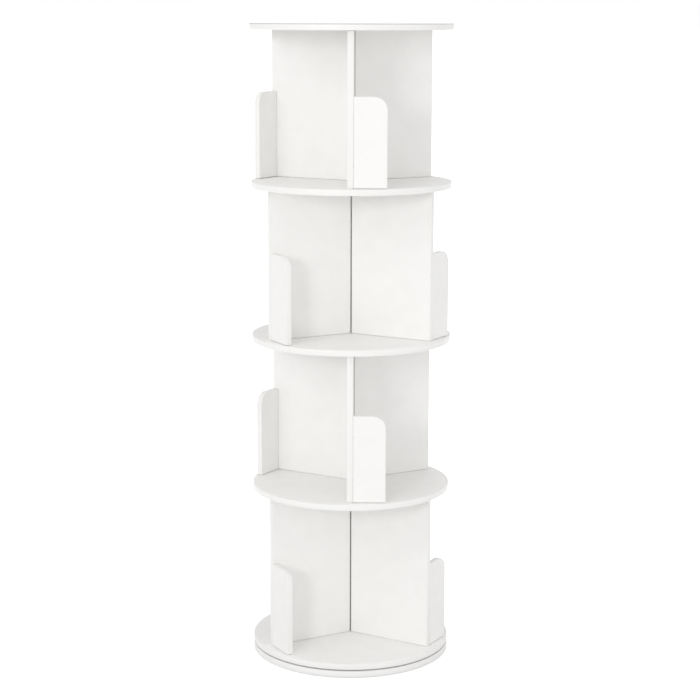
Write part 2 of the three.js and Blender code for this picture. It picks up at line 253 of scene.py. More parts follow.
# %% [markdown]
# ### Glue line
# Between film and edging runs a line of glue, about a sixth of a millimetre wide, in which a
# little dust always sticks. It is what tells edged board from solid plastic. The same grey is
# also painted on the inner ends of the dividers, as painted shade in the slit between them.

# %% Glue line
glue_line_and_slit_shade = new_finish("glue_line_and_slit_shade", roughness=0.6)
dust = spread_to(glue_line_and_slit_shade, cloud(glue_line_and_slit_shade, place_on(glue_line_and_slit_shade), scale=140))
paint(glue_line_and_slit_shade, dust, (0.66, 0.65, 0.62), (0.76, 0.75, 0.73))
relief(glue_line_and_slit_shade, dust, depth=0.03 * mm, strength=0.4)
print("finish:", glue_line_and_slit_shade.name)

# %% [markdown]
# ### Painted shade on the top rim
# The upper eased rim of the top disc is painted dark grey in patches and made less glossy. This is
# painted shade: that edge faces up, and little light falls on it from above.

# %% Painted shade on the top rim
painted_shade_top_rim = new_finish("painted_shade_top_rim", roughness=0.6)
top_rim_shade = spread_to(painted_shade_top_rim, cloud(painted_shade_top_rim, place_on(painted_shade_top_rim), scale=40, detail=3))
paint(painted_shade_top_rim, top_rim_shade, (0.15, 0.145, 0.14), (0.27, 0.265, 0.255))
relief(painted_shade_top_rim, top_rim_shade, depth=0.03 * mm, strength=0.4)
print("finish:", painted_shade_top_rim.name)

# %% [markdown]
# ### Chipboard
# Inside the holes and in the pockets of the bearing the board is bare: pressed chips in all
# shades from straw to brown. A Voronoi pattern has such cells. It is squeezed in height, because
# the chips lie flat, and a finer noise roughens them.

# %% Chipboard
chipboard = new_finish("bare_chipboard", roughness=0.9)
place = place_on(chipboard, stretch=(1, 1, 2.6))
chips = add_node(chipboard, "ShaderNodeTexVoronoi", {"Vector": place, "Scale": 760.0}).outputs
chip_shade = add_node(chipboard, "ShaderNodeSeparateColor", {"Color": chips["Color"]}).outputs[0]
wood = blend_colours(chipboard, chip_shade, (0.36, 0.24, 0.13), (0.68, 0.52, 0.34))
fibre = spread_to(chipboard, cloud(chipboard, place, scale=1900, detail=3), high=0.6)
paint(chipboard, fibre, wood, (0.25, 0.16, 0.09))
relief(chipboard, chips["Distance"], depth=0.3 * mm, strength=0.6)
print("finish:", chipboard.name)

# %% [markdown]
# ### Beech dowels
# The dowels are turned from beech: pale pink-brown, with short darker flecks along the grain.
# Their grain runs along the dowel, so the flecks are drawn out in height for the upright dowels,
# and a second finish draws them out sideways for the level ones.

# %% Beech
def beech(name, stretch):
    """Beech whose flecks are drawn out along one axis."""
    finish = new_finish(name, roughness=0.62)
    grain = cloud(finish, place_on(finish, stretch), scale=1, detail=3)
    paint(finish, spread_to(finish, grain, start=0.35), (0.62, 0.43, 0.27), (0.42, 0.25, 0.14))
    relief(finish, grain, depth=0.1 * mm, strength=0.5)
    return finish


upright_beech = beech("upright_beech", (1400, 1400, 120))
level_beech = beech("level_beech", (350, 350, 1400))
print("finishes:", upright_beech.name, level_beech.name)

# %% [markdown]
# ### Metals, nylon and foam
# The screws are zinc plated, which gives a slightly blotchy grey with a soft shine. The bearing
# rings are extruded aluminium with fine turning marks, level rings that only depend on height and
# radius. The balls are polished steel, their cage is milky nylon and the feet are closed foam.

# %% Zinc and polished steel
zinc = new_finish("zinc_plated_steel", roughness=0.34, metallic=1.0)
place = place_on(zinc)
patches = spread_to(zinc, cloud(zinc, place, scale=700, detail=3))
paint(zinc, patches, (0.56, 0.57, 0.59), (0.70, 0.70, 0.69))
wire(zinc, spread_to(zinc, cloud(zinc, place, scale=1300), low=0.26, high=0.46), "Roughness")
relief(zinc, patches, depth=0.02 * mm, strength=0.4)

ball_steel = new_finish("polished_ball_steel", roughness=0.12, metallic=1.0)
haze = spread_to(ball_steel, cloud(ball_steel, place_on(ball_steel), scale=500))
paint(ball_steel, haze, (0.66, 0.66, 0.67), (0.74, 0.74, 0.74))
wire(ball_steel, spread_to(ball_steel, haze, low=0.08, high=0.18, start=0, end=1), "Roughness")
print("finishes:", zinc.name, ball_steel.name)

# %% Aluminium with turning marks
aluminium = new_finish("turned_aluminium", roughness=0.36, metallic=1.0)
where = parts_of(aluminium, place_on(aluminium))
flat = add_node(aluminium, "ShaderNodeCombineXYZ", {"X": where["X"], "Y": where["Y"]}).outputs[0]
radius_and_height = {"X": length_of(aluminium, flat), "Z": where["Z"]}
ring_place = add_node(aluminium, "ShaderNodeCombineXYZ", radius_and_height).outputs[0]
marks = cloud(aluminium, ring_place, scale=2600)
paint(aluminium, spread_to(aluminium, marks), (0.70, 0.71, 0.72), (0.80, 0.81, 0.82))
wire(aluminium, spread_to(aluminium, marks, low=0.28, high=0.44), "Roughness")
relief(aluminium, marks, depth=0.02 * mm, strength=0.5)
print("finish:", aluminium.name)

# %% Nylon, foam and the film of the screw caps
nylon = new_finish("milky_nylon", roughness=0.5)
milk = spread_to(nylon, cloud(nylon, place_on(nylon), scale=180))
paint(nylon, milk, (0.80, 0.79, 0.74), (0.87, 0.86, 0.82))
shader_of(nylon).inputs["Subsurface Weight"].default_value = 0.15
shader_of(nylon).inputs["Subsurface Scale"].default_value = mm
relief(nylon, milk, depth=0.03 * mm, strength=0.4)

foam = new_finish("closed_foam", roughness=0.92)
cell_inputs = {"Vector": place_on(foam), "Scale": 1500.0}
cells = add_node(foam, "ShaderNodeTexVoronoi", cell_inputs).outputs["Distance"]
paint(foam, spread_to(foam, cells, start=0.1), (0.58, 0.57, 0.54), (0.80, 0.79, 0.76))
relief(foam, cells, depth=0.2 * mm, strength=0.7)

cap_film = new_finish("screw_cap_film", roughness=0.38)
sheen = spread_to(cap_film, cloud(cap_film, place_on(cap_film), scale=300))
paint(cap_film, sheen, (0.87, 0.868, 0.86), (0.90, 0.898, 0.89))
relief(cap_film, cloud(cap_film, place_on(cap_film), scale=1900), depth=0.04 * mm, strength=0.5)
print("finishes:", nylon.name, foam.name, cap_film.name)

# %% [markdown]
# ## Helpers for modelling
# Each piece is made as by hand: a primitive is added at its size and place, then faces or edges
# are picked and an operator shapes them. Here they are picked by their place or direction, which
# does the work of the mouse. An operator acts on all that is selected, so every step first
# deselects everything else. A face looks straight along an axis when nearly all of its normal
# points that way.

# %% Helpers that pick
straight = 0.99


def work_on(piece):
    """Only this piece is selected, and it is the active one."""
    if bpy.context.object and bpy.context.object.mode != "OBJECT":
        bpy.ops.object.mode_set(mode="OBJECT")
    bpy.ops.object.select_all(action="DESELECT")
    piece.select_set(True)
    bpy.context.view_layer.objects.active = piece


def pick(piece, kind, wanted):
    """Opens the piece in edit mode with only the wanted points, edges or faces selected."""
    work_on(piece)
    mesh = piece.data
    for elements in (mesh.vertices, mesh.edges, mesh.polygons):
        elements.foreach_set("select", [False] * len(elements))
    bpy.context.tool_settings.mesh_select_mode = (kind == "points", kind == "edges", kind == "faces")
    if kind == "faces":
        for face in mesh.polygons:
            face.select = wanted(face.center, face.normal)
    elif kind == "edges":
        for edge in mesh.edges:
            edge.select = wanted(*(mesh.vertices[i].co for i in edge.vertices))
    else:
        for point in mesh.vertices:
            point.select = wanted(point.co)
    bpy.ops.object.mode_set(mode="EDIT")


def done(piece):
    bpy.ops.object.mode_set(mode="OBJECT")
    return piece


# %% Helpers that place, copy and finish
def started(name):
    """Names the primitive that was just added, and puts its place and size into its mesh."""
    piece = bpy.context.object
    piece.name = piece.data.name = name
    return fix_place(piece)


def fix_place(piece):
    """The place goes into the mesh, and the object is back at the origin, unturned and unscaled."""
    work_on(piece)
    bpy.ops.object.transform_apply(location=True, rotation=True, scale=True)
    return piece


def copy_at(piece, name, place=(0, 0, 0), turn=0.0, head_down=False):
    """A copy with its own mesh, turned about its upright axis by an angle in degrees and then moved."""
    copy = piece.copy()
    copy.data = piece.data.copy()
    copy.name = copy.data.name = name
    bpy.context.scene.collection.objects.link(copy)
    flip = Matrix.Rotation(math.pi if head_down else 0, 4, "X")
    copy.matrix_world = Matrix.Translation(place) @ Matrix.Rotation(math.radians(turn), 4, "Z") @ flip
    return fix_place(copy)


def finish_with(piece, kind, **settings):
    """A modifier that is applied at once."""
    work_on(piece)
    modifier = piece.modifiers.new(kind.lower(), kind)
    for key, value in settings.items():
        setattr(modifier, key, value)
    bpy.ops.object.modifier_apply(modifier=modifier.name)
    return piece


def joined(pieces, name):
    """Several objects as one."""
    work_on(pieces[0])
    for piece in pieces:
        piece.select_set(True)
    if len(pieces) > 1:
        bpy.ops.object.join()
    pieces[0].name = pieces[0].data.name = name
    return pieces[0]


def carve(piece, cutters):
    """Cuts all the cutters out of the piece. The cut faces keep the cutters' finish."""
    cutter = joined(cutters, "cutter")
    finish_with(piece, "BOOLEAN", object=cutter, operation="DIFFERENCE", solver="EXACT",
                material_mode="TRANSFER")
    bpy.data.objects.remove(cutter)
    return piece


def coat(piece, finish, wanted=None):
    """Gives the finish to the faces that are wanted, or to all."""
    materials = piece.data.materials
    if finish.name not in materials:
        materials.append(finish)
    index = materials.find(finish.name)
    for face in piece.data.polygons:
        if wanted is None or wanted(face.center, face.normal):
            face.material_index = index
    return piece


def smooth(piece, degrees=35):
    """Soft shading, but for edges sharper than this."""
    work_on(piece)
    bpy.ops.object.shade_smooth_by_angle(angle=math.radians(degrees))
    return piece


def hand_over(piece, body, slot, *nodes):
    """The piece rides on its body and stands for its nodes, which are hidden. The slot is not used."""
    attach(piece, body)
    if nodes:
        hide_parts(*nodes)


def out_along(degrees, reach, height=0.0):
    """The point at that reach from the tower's axis, in that direction."""
    angle = math.radians(degrees)
    return Vector((reach * math.cos(angle), reach * math.sin(angle), height))


# %% [markdown]
# ## Round boards
# A disc of the real tower is sawn from board, edged with a strip all round, and its two rims are
# eased so that they don't cut the hand. It could be drawn as a profile and spun, but a cylinder
# with many sides is as round and quicker. Its flat faces are inset twice, and each time the faces
# that are left inside take the next finish: the outer ring stays edging, the next is the glue
# line, and the rest is film. Then the rims are bevelled, and the upper one of the top disc is
# painted dark grey in patches, as painted shade on that upward edge.

# %% Edge a board with its strip
strip_width = 1.0 * mm
glue_width = 0.16 * mm
eased = 0.7 * mm


def edge_with_strip(piece, strip, is_broad):
    """Leaves a ring of edging and a glue line round the broad faces, and film inside them."""
    for finish in (strip, glue_line_and_slit_shade, melamine):
        piece.data.materials.append(finish)
    pick(piece, "faces", is_broad)
    for width, inside in ((strip_width, 1), (glue_width, 2)):
        bpy.ops.mesh.inset(thickness=width)
        piece.active_material_index = inside
        bpy.ops.object.material_slot_assign()
    return done(piece)


# %% Make the six round boards
rim_sides = 240


def round_board(name):
    """A disc at its place, edged and with both rims eased."""
    low, high = underside[name], upper_face[name]
    bpy.ops.mesh.primitive_cylinder_add(vertices=rim_sides, radius=disc_radius, depth=high - low,
                                        location=(0, 0, (low + high) / 2))
    board = started(name + "_board")
    edge_with_strip(board, rim_edging, lambda middle, normal: abs(normal.z) > straight)
    rim = disc_radius - hair
    pick(board, "edges", lambda a, b: min(a.xy.length, b.xy.length) > rim and abs(a.z - b.z) < hair)
    bpy.ops.mesh.bevel(offset=eased, segments=3, affect="EDGES")
    return done(board)


boards = {name: round_board(name) for name in round_boards}
# The upper rim of the top disc is painted dark grey: painted shade
coat(boards["top_disc"], painted_shade_top_rim, lambda middle, normal: 1 - straight < normal.z < straight)
print("round boards:", len(boards), "with", len(boards["top_disc"].data.polygons), "faces each")

# %% [markdown]
# ## Screws
# A screw is drawn out of a disc, the face of its head: the end face is extruded upwards again and
# again and brought to the next radius, through the rim of the head, the countersink, the neck and
# the core, to the point. The same steps with a little more room make the hole that it sits in.
# The thread is a small triangle that the Screw modifier winds round the core, and the hexagon
# socket is carved out with a six-sided cylinder.

# %% Draw out a round solid and wind a thread
def drawn_out(name, stations, sides=24):
    """A round solid on the axis through stations of radius and height."""
    radius, height = stations[0]
    bpy.ops.mesh.primitive_circle_add(vertices=sides, radius=radius, fill_type="NGON",
                                      location=(0, 0, height))
    piece = started(name)
    pick(piece, "faces", lambda middle, normal: True)
    for next_radius, next_height in stations[1:]:
        bpy.ops.mesh.extrude_region_move(TRANSFORM_OT_translate={"value": (0, 0, next_height - height)})
        growth = next_radius / radius
        bpy.ops.transform.resize(value=(growth, growth, 1), center_override=(0, 0, next_height))
        radius, height = next_radius, next_height
    bpy.ops.mesh.select_all(action="SELECT")
    bpy.ops.mesh.normals_make_consistent(inside=False)
    return done(piece)


def wound_thread(core, crest, start, end, pitch):
    """A three-sided ridge wound round a screw's core, closed at both ends."""
    # Its foot is sunk in the core, and a triangle is one and a half times its radius high
    sunk = 0.1 * mm
    size = (crest - core + sunk) / 1.5
    bpy.ops.mesh.primitive_circle_add(vertices=3, radius=size, location=(crest - size, 0, start),
                                      rotation=(math.pi / 2, math.pi / 2, 0))
    ridge = started("thread")
    turns, steps = int((end - start) / pitch), 12
    finish_with(ridge, "SCREW", axis="Z", angle=2 * math.pi, screw_offset=pitch, iterations=turns,
                steps=steps, render_steps=steps, use_merge_vertices=True, merge_threshold=hair)
    for low, high in ((0, start + size), (start + turns * pitch - size, end + mm)):
        pick(ridge, "edges", lambda a, b: all(low < point.z < high and abs(point.y) < hair and point.x > 0
                                              for point in (a, b)))
        bpy.ops.mesh.edge_face_add()
        bpy.ops.mesh.select_all(action="SELECT")
        bpy.ops.mesh.normals_make_consistent(inside=False)
        done(ridge)
    return ridge


# %% Make the two kinds of screw and the holes that they sit in
def wood_screw(name, length, head, head_height, shank, neck, socket, socket_depth, pitch):
    """A countersunk screw that points up, with the face of its head at height 0."""
    core = shank - 0.5 * mm
    point, tip = 4 * core, 0.15 * mm
    rim_ease, rim_height = 0.3 * mm, 0.25 * mm
    taper_end, thread_start = neck + 0.8 * mm, neck + 1.2 * mm
    screw = drawn_out(name, [(head - rim_ease, 0), (head, rim_height), (shank, head_height), (shank, neck),
                             (core, taper_end), (core, length - point), (tip, length)])
    coat(screw, zinc)
    hexagon = drawn_out("hexagon", [(socket, -mm), (socket, socket_depth)], sides=6)
    carve(screw, [coat(hexagon, zinc)])
    ridge = wound_thread(core, shank, thread_start, length - point, pitch)
    return smooth(joined([screw, coat(ridge, zinc)], name))


def screw_hole(name, length, head, head_height, shank):
    """The hole for such a screw, open below its head."""
    room, opening = 0.3 * mm, 3 * mm
    hole = drawn_out(name, [(head + room, -opening), (head + room, 0), (shank + room, head_height),
                            (shank + room, length + room)])
    return coat(hole, chipboard)


def screw_and_hole(name, node, head_height, shank, **more):
    """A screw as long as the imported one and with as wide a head, and the hole for it."""
    low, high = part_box(node)
    length, head = (high - low).z, max((high - low).xy) / 2
    screw = wood_screw(name, length, head, head_height, shank, **more)
    return screw, screw_hole(name + "_hole", length, head, head_height, shank)


divider_screw, divider_screw_hole = screw_and_hole(
    "divider_screw", "divider_screw_1_a", head_height=2.6 * mm, shank=2.0 * mm, neck=10 * mm,
    socket=1.7 * mm, socket_depth=1.6 * mm, pitch=1.8 * mm)
ring_screw, ring_screw_hole = screw_and_hole(
    "ring_screw", "inner_ring_screw_a", head_height=2.2 * mm, shank=1.75 * mm, neck=4 * mm,
    socket=1.3 * mm, socket_depth=1.2 * mm, pitch=1.4 * mm)
for screw in (divider_screw, ring_screw):
    print("%s: %.0f mm long, %d faces" % (screw.name, screw.dimensions.z / mm, len(screw.data.polygons)))

# %% [markdown]
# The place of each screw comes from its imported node: the middle of its box, and the height of
# the face of its head. The screws in the top disc and in the inner ring point down. Each one is
# turned on by 41 degrees from the last, because no two are ever driven home alike.

# %% Set all screws
letters = "abcd"
turn_step = 41
head_down_screws = ["top_screw_" + c for c in "abc"] + ["inner_ring_screw_" + c for c in letters]
divider_screws = ["divider_screw_%d_%s" % (tier, c) for tier in (1, 2, 3, 4) for c in "abc"]
divider_screws += head_down_screws[:3]
ring_screws = head_down_screws[3:] + ["outer_ring_screw_" + c for c in letters]


def head_place(node):
    """The middle of the face of a screw's head."""
    low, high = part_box(node)
    return Vector(((low.x + high.x) / 2, (low.y + high.y) / 2, high.z if node in head_down_screws else low.z))


def place_like(pattern, node, name):
    """A copy of the pattern at the place of a screw."""
    turn = turn_step * (divider_screws + ring_screws).index(node)
    return copy_at(pattern, name, head_place(node), turn, node in head_down_screws)


for node in divider_screws:
    hand_over(place_like(divider_screw, node, node + "_steel"), "tower", "screw_steel", node)
for node in ring_screws:
    body = "base" if node.startswith("inner") else "tower"
    hand_over(place_like(ring_screw, node, node + "_steel"), body, "screw_steel", node)
print("screws set:", len(divider_screws) + len(ring_screws))

# %% [markdown]
# ## Dowels
# A beech dowel has flutes that let the glue and the air out, and eased ends that find the hole.
# It starts as a cylinder with an even number of sides. Every second upright edge is drawn in
# towards the axis for the flutes, and then both ends are bevelled.

# %% Make one dowel
dowel_radius = 3.1 * mm
dowel_length = 12.0 * mm
dowel_ease = 0.5 * mm
dowel_flutes = 10
flute_share = 0.88

bpy.ops.mesh.primitive_cylinder_add(vertices=2 * dowel_flutes, radius=dowel_radius, depth=dowel_length)
dowel = started("dowel")


def in_flute(point):
    return round(math.atan2(point.y, point.x) * dowel_flutes / math.pi) % 2 == 1


pick(dowel, "edges", lambda a, b: abs(a.z - b.z) > hair and in_flute(a))
bpy.ops.transform.resize(value=(flute_share, flute_share, 1), center_override=(0, 0, 0))
done(dowel)
pick(dowel, "faces", lambda middle, normal: abs(normal.z) > straight)
bpy.ops.mesh.bevel(offset=dowel_ease, segments=1, affect="EDGES")
done(dowel)
print("dowel: %d faces" % len(dowel.data.polygons))

# %% [markdown]
# ## Dividers
# A divider is a plain board, as high as its tier. The four tiers differ by a few millimetres, so
# one divider is made for the lowest tier, and for the others its upper half is moved up or down.
# Its edges are eased, which gives the thin soft lines that real boards show where they meet. Only
# the face of its inner end, which nobody sees, has sharp edges and no strip: it is painted the grey
# of the glue line, as painted shade that deepens the slit between the three inner ends. Each divider
# stands on two dowels and holds its disc up with two more. A screw from below goes into its foot,
# and in the highest tier one from above goes into its top.

# %% Make the divider of the lowest tier, pointing along +X
divider_length = divider_outer - divider_inner
half_board = board_thickness / 2
tier_heights = [top - low for low, top in zip(floors, ceilings)]
divider_dowel_shares, stop_dowel_shares = (0.26, 0.82), (0.25, 0.75)
dowel_places = [divider_inner + share * divider_length for share in divider_dowel_shares]
stop_dowel_heights = [share * stop_height for share in stop_dowel_shares]
stop_middle = divider_outer - half_board
highest_tier = len(tier_heights) - 1

bpy.ops.mesh.primitive_cube_add(
    size=1, location=(divider_inner + divider_length / 2, 0, tier_heights[0] / 2),
    scale=(divider_length, board_thickness, tier_heights[0] - 2 * resting_gap))
divider_pattern = started("divider_pattern")
edge_with_strip(divider_pattern, upright_edging, lambda middle, normal: abs(normal.y) > straight)


def on_its_outline(point):
    """Whether a point of the divider is on its outer end, top or foot."""
    foot, top = resting_gap, tier_heights[0] - resting_gap
    return point.x > divider_outer - hair or point.z < foot + hair or point.z > top - hair


pick(divider_pattern, "edges", lambda a, b: on_its_outline(a) and on_its_outline(b)
     and max(a.x, b.x) > divider_inner + hair)
bpy.ops.mesh.bevel(offset=eased, segments=3, affect="EDGES")
done(divider_pattern)
# The inner end gets the grey of the glue line: painted shade that darkens the slit
coat(divider_pattern, glue_line_and_slit_shade, lambda middle, normal: normal.x < -straight)
print("divider: %.0f x %.0f x %.0f mm" % tuple(v / mm for v in divider_pattern.dimensions))

# %% Drill it and put in the dowels, for each tier
dowel_hole_radius = 3.25 * mm
hole_overlap = 0.2 * mm


def round_hole(radius, depth, middle, turned=(0, 0, 0)):
    """A cutter for a plain hole."""
    bpy.ops.mesh.primitive_cylinder_add(vertices=24, radius=radius, depth=depth, location=middle,
                                        rotation=turned)
    return coat(started("hole"), chipboard)


def divider_for(tier):
    """The divider of a tier, with its foot at height 0."""
    board = copy_at(divider_pattern, "divider_of_tier_%d" % (tier + 1))
    pick(board, "points", lambda point: point.z > tier_heights[0] / 2)
    bpy.ops.transform.translate(value=(0, 0, tier_heights[tier] - tier_heights[0]))
    done(board)
    screw_head = head_place("divider_screw_%d_a" % (tier + 1))
    reach, below = screw_head.xy.length, screw_head.z - floors[tier]
    cutters = [copy_at(divider_screw_hole, "hole", (reach, 0, below))]
    if tier == highest_tier:
        above = tier_heights[tier] - board_thickness - below
        cutters.append(copy_at(divider_screw_hole, "hole", (reach, 0, above), head_down=True))
    # The holes for the stop's dowels start just outside the face, so that they open it
    depth = half_board + 2 * hole_overlap
    for height in stop_dowel_heights:
        middle = (stop_middle, half_board + hole_overlap - depth / 2, height)
        cutters.append(round_hole(dowel_hole_radius, depth, middle, turned=(math.pi / 2, 0, 0)))
    carve(board, cutters)
    dowels = [coat(copy_at(dowel, "dowel", (place, 0, height)), upright_beech)
              for place in dowel_places for height in (0, tier_heights[tier])]
    return smooth(joined([board, *dowels], board.name))


dividers = [divider_for(tier) for tier in range(len(tier_heights))]
print("dividers:", [round(d.dimensions.z / mm) for d in dividers], "mm high over their dowels")

# %% [markdown]
# ## Media stops
# The stop is a short upright board that keeps the end of a row of books in. Dowels hold it to
# the divider, and its foot stands just clear of the disc, which shows as a thin dark line. Its
# free top corner is rounded to a radius of 25 mm. It starts as a cube: the one edge of that
# corner is bevelled with many segments, which makes the round, and only then is the stop edged
# and eased, so that the strip and the glue line follow the round corner as on the real one.

# %% Make one media stop
corner_radius = 25.0 * mm
foot_clearance = 0.5 * mm
stop_start = half_board + resting_gap
stop_foot = resting_gap + foot_clearance

bpy.ops.mesh.primitive_cube_add(
    size=1, location=(stop_middle, (stop_start + stop_reach) / 2, (stop_foot + stop_height) / 2),
    scale=(board_thickness, stop_reach - stop_start, stop_height - stop_foot))
stop_pattern = started("stop_pattern")
pick(stop_pattern, "edges", lambda a, b: min(a.y, b.y) > stop_reach - hair
     and min(a.z, b.z) > stop_height - hair)
bpy.ops.mesh.bevel(offset=corner_radius, segments=14, affect="EDGES")
done(stop_pattern)
edge_with_strip(stop_pattern, upright_edging, lambda middle, normal: abs(normal.x) > straight)


def outside_the_strip(point):
    """How far a point lies outside the line at half the strip's width."""
    y, z = point.y - (stop_reach - corner_radius), point.z - (stop_height - corner_radius)
    if y > 0 and z > 0:
        outside = math.hypot(y, z) - corner_radius
    else:
        outside = max(y - corner_radius, z - corner_radius, stop_start - point.y, stop_foot - point.z)
    return outside + strip_width / 2


def is_eased(a, b):
    """Whether an edge is on the stop's outline, and not one of the lines across its round corner."""
    on_the_outline = min(outside_the_strip(a), outside_the_strip(b)) > 0
    across_the_round = abs(a.x - b.x) > hair and a.y > stop_start + hair and a.z > stop_foot + hair
    return on_the_outline and not across_the_round


pick(stop_pattern, "edges", is_eased)
bpy.ops.mesh.bevel(offset=eased, segments=3, affect="EDGES")
done(stop_pattern)
level_dowels = [coat(copy_at(dowel, "dowel"), level_beech) for height in stop_dowel_heights]
for piece, height in zip(level_dowels, stop_dowel_heights):
    piece.rotation_euler.x = math.pi / 2
    piece.location = (stop_middle, stop_start, height)
    fix_place(piece)
stop_pattern = smooth(joined([stop_pattern, *level_dowels], "stop_pattern"))
print("stop: %.0f mm wide with its dowels, %.0f mm high" % tuple(v / mm for v in stop_pattern.dimensions.yz))

# %% Set the dividers and the stops
first_directions, third_of_a_turn = [90, 270, 90, 270], 120
directions = {(tier, letter): first + third_of_a_turn * i
              for tier, first in enumerate(first_directions) for i, letter in enumerate("abc")}
for (tier, letter), direction in directions.items():
    for pattern, kind in ((dividers[tier], "divider"), (stop_pattern, "media_stop")):
        node = "%s_%d_%s" % (kind, tier + 1, letter)
        piece = copy_at(pattern, node + "_board", (0, 0, floors[tier]), direction)
        hand_over(piece, "tower", "white_board", node)
print("dividers and stops set:", 2 * len(directions))

# %% [markdown]
# ## Holes in the round boards
# Each disc has blind holes for the dowels of the dividers above and below it and countersunk
# holes for the screws that go up into the dividers. The two lowest boards also have a shallow
# round pocket for the bearing, and the base has a hole through which the screws of the outer
# ring are reached while the tower is turned. All are carved with the Boolean modifier, and the
# bare chipboard of the cutters stays on the walls of the holes.

# %% Carve the discs
ring_low, ring_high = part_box("bearing_outer_ring")
outer_ring_radius = ring_high.x
pocket_radius = outer_ring_radius + 1.5 * mm
pocket_depth = 3.0 * mm
access_radius, access_depth = 7.0 * mm, 4 * board_thickness
dowel_end_room = 0.3 * mm


def dowel_holes(tier, face):
    """Cutters for the dowels of a tier's dividers, half of each in the board at that face."""
    depth = dowel_length + 2 * dowel_end_room
    places = [out_along(direction, reach, face) for (its_tier, letter), direction in directions.items()
              if its_tier == tier for reach in dowel_places]
    return [round_hole(dowel_hole_radius, depth, place) for place in places]


def holes_for(nodes, pattern):
    return [place_like(pattern, node, "hole") for node in nodes]


def pocket(middle):
    """A wide flat cutter for the pocket of the bearing."""
    bpy.ops.mesh.primitive_cylinder_add(vertices=120, radius=pocket_radius, depth=2 * pocket_depth,
                                        location=(0, 0, middle))
    return coat(started("pocket"), chipboard)


for tier, name in enumerate(round_boards[1:5]):
    cutters = dowel_holes(tier, upper_face[name])
    screws = [node for node in divider_screws if node.startswith("divider_screw_%d" % (tier + 1))]
    cutters += holes_for(screws, divider_screw_hole)
    if tier > 0:
        cutters += dowel_holes(tier - 1, underside[name])
    carve(boards[name], cutters)
cutters = dowel_holes(highest_tier, underside["top_disc"])
cutters += holes_for(head_down_screws[:3], divider_screw_hole)
carve(boards["top_disc"], cutters)
carve(boards["bottom_disc"], [pocket(underside["bottom_disc"])])
carve(boards["bottom_disc"], holes_for(ring_screws[4:], ring_screw_hole))
carve(boards["base_disc"], [pocket(upper_face["base_disc"])])
access_place = head_place("outer_ring_screw_a") * Vector((1, 1, 0))
access = round_hole(access_radius, access_depth, access_place)
carve(boards["base_disc"], holes_for(ring_screws[:4], ring_screw_hole) + [access])
for name, board in boards.items():
    smooth(board)
    hand_over(board, "base" if name == "base_disc" else "tower", "white_board", name)
print("faces of the carved boards:", [len(board.data.polygons) for board in boards.values()])

# %% [markdown]
# ## The bearing
# Two flat aluminium rings lie side by side in the pockets, one screwed to each board, and balls
# run in a groove between them. A ring has the same section all round, so its section is drawn
# once, as a plane with eased corners, and spun about the axis. A torus carves the ball groove
# into both rings, and the countersunk holes follow.

# %% Spin a ring from its section
ring_steps = 96


def spun_ring(name, inner, outer, low, high, corner, finish):
    """A ring between two radii and two heights, with eased corners."""
    bpy.ops.mesh.primitive_plane_add(size=1, location=((inner + outer) / 2, 0, (low + high) / 2),
                                     rotation=(math.pi / 2, 0, 0))
    bpy.context.object.scale = (outer - inner, high - low, 1)
    ring = started(name)
    pick(ring, "points", lambda point: True)
    bpy.ops.mesh.bevel(offset=corner, segments=2, affect="VERTICES")
    bpy.ops.mesh.select_all(action="SELECT")
    bpy.ops.mesh.delete(type="ONLY_FACE")
    bpy.ops.mesh.select_all(action="SELECT")
    bpy.ops.mesh.spin(steps=ring_steps, angle=2 * math.pi, center=(0, 0, 0), axis=(0, 0, 1))
    bpy.ops.mesh.select_all(action="SELECT")
    bpy.ops.mesh.remove_doubles(threshold=hair)
    bpy.ops.mesh.normals_make_consistent(inside=False)
    return coat(done(ring), finish)


# %% Make the two rings
inner_ring_low, inner_ring_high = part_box("bearing_inner_ring")
ring_width = 13.8 * mm
ring_corner = 0.4 * mm
groove_radius = 2.45 * mm
ball_circle = (inner_ring_high.x + outer_ring_radius - ring_width) / 2
ball_height = (inner_ring_low.z + inner_ring_high.z + ring_low.z + ring_high.z) / 4
rings = {
    "inner": spun_ring("bearing_inner_ring_alloy", inner_ring_high.x - ring_width, inner_ring_high.x,
                       inner_ring_low.z, inner_ring_high.z, ring_corner, aluminium),
    "outer": spun_ring("bearing_outer_ring_alloy", outer_ring_radius - ring_width, outer_ring_radius,
                       ring_low.z, ring_high.z, ring_corner, aluminium),
}
for side, nodes, body in (("inner", ring_screws[:4], "base"), ("outer", ring_screws[4:], "tower")):
    bpy.ops.mesh.primitive_torus_add(major_radius=ball_circle, minor_radius=groove_radius,
                                     major_segments=ring_steps, minor_segments=20,
                                     location=(0, 0, ball_height))
    carve(rings[side], [coat(started("groove"), aluminium)])
    carve(rings[side], [coat(hole, aluminium) for hole in holes_for(nodes, ring_screw_hole)])
    smooth(rings[side])
    hand_over(rings[side], body, "bearing_alloy", "bearing_%s_ring" % side)
print("ring faces:", [len(ring.data.polygons) for ring in rings.values()])

# %% [markdown]
# The balls start as one cube that is subdivided and drawn onto a sphere, which gives even faces
# without the pinched poles of a globe. Their cage is a thin nylon ring that keeps them apart.

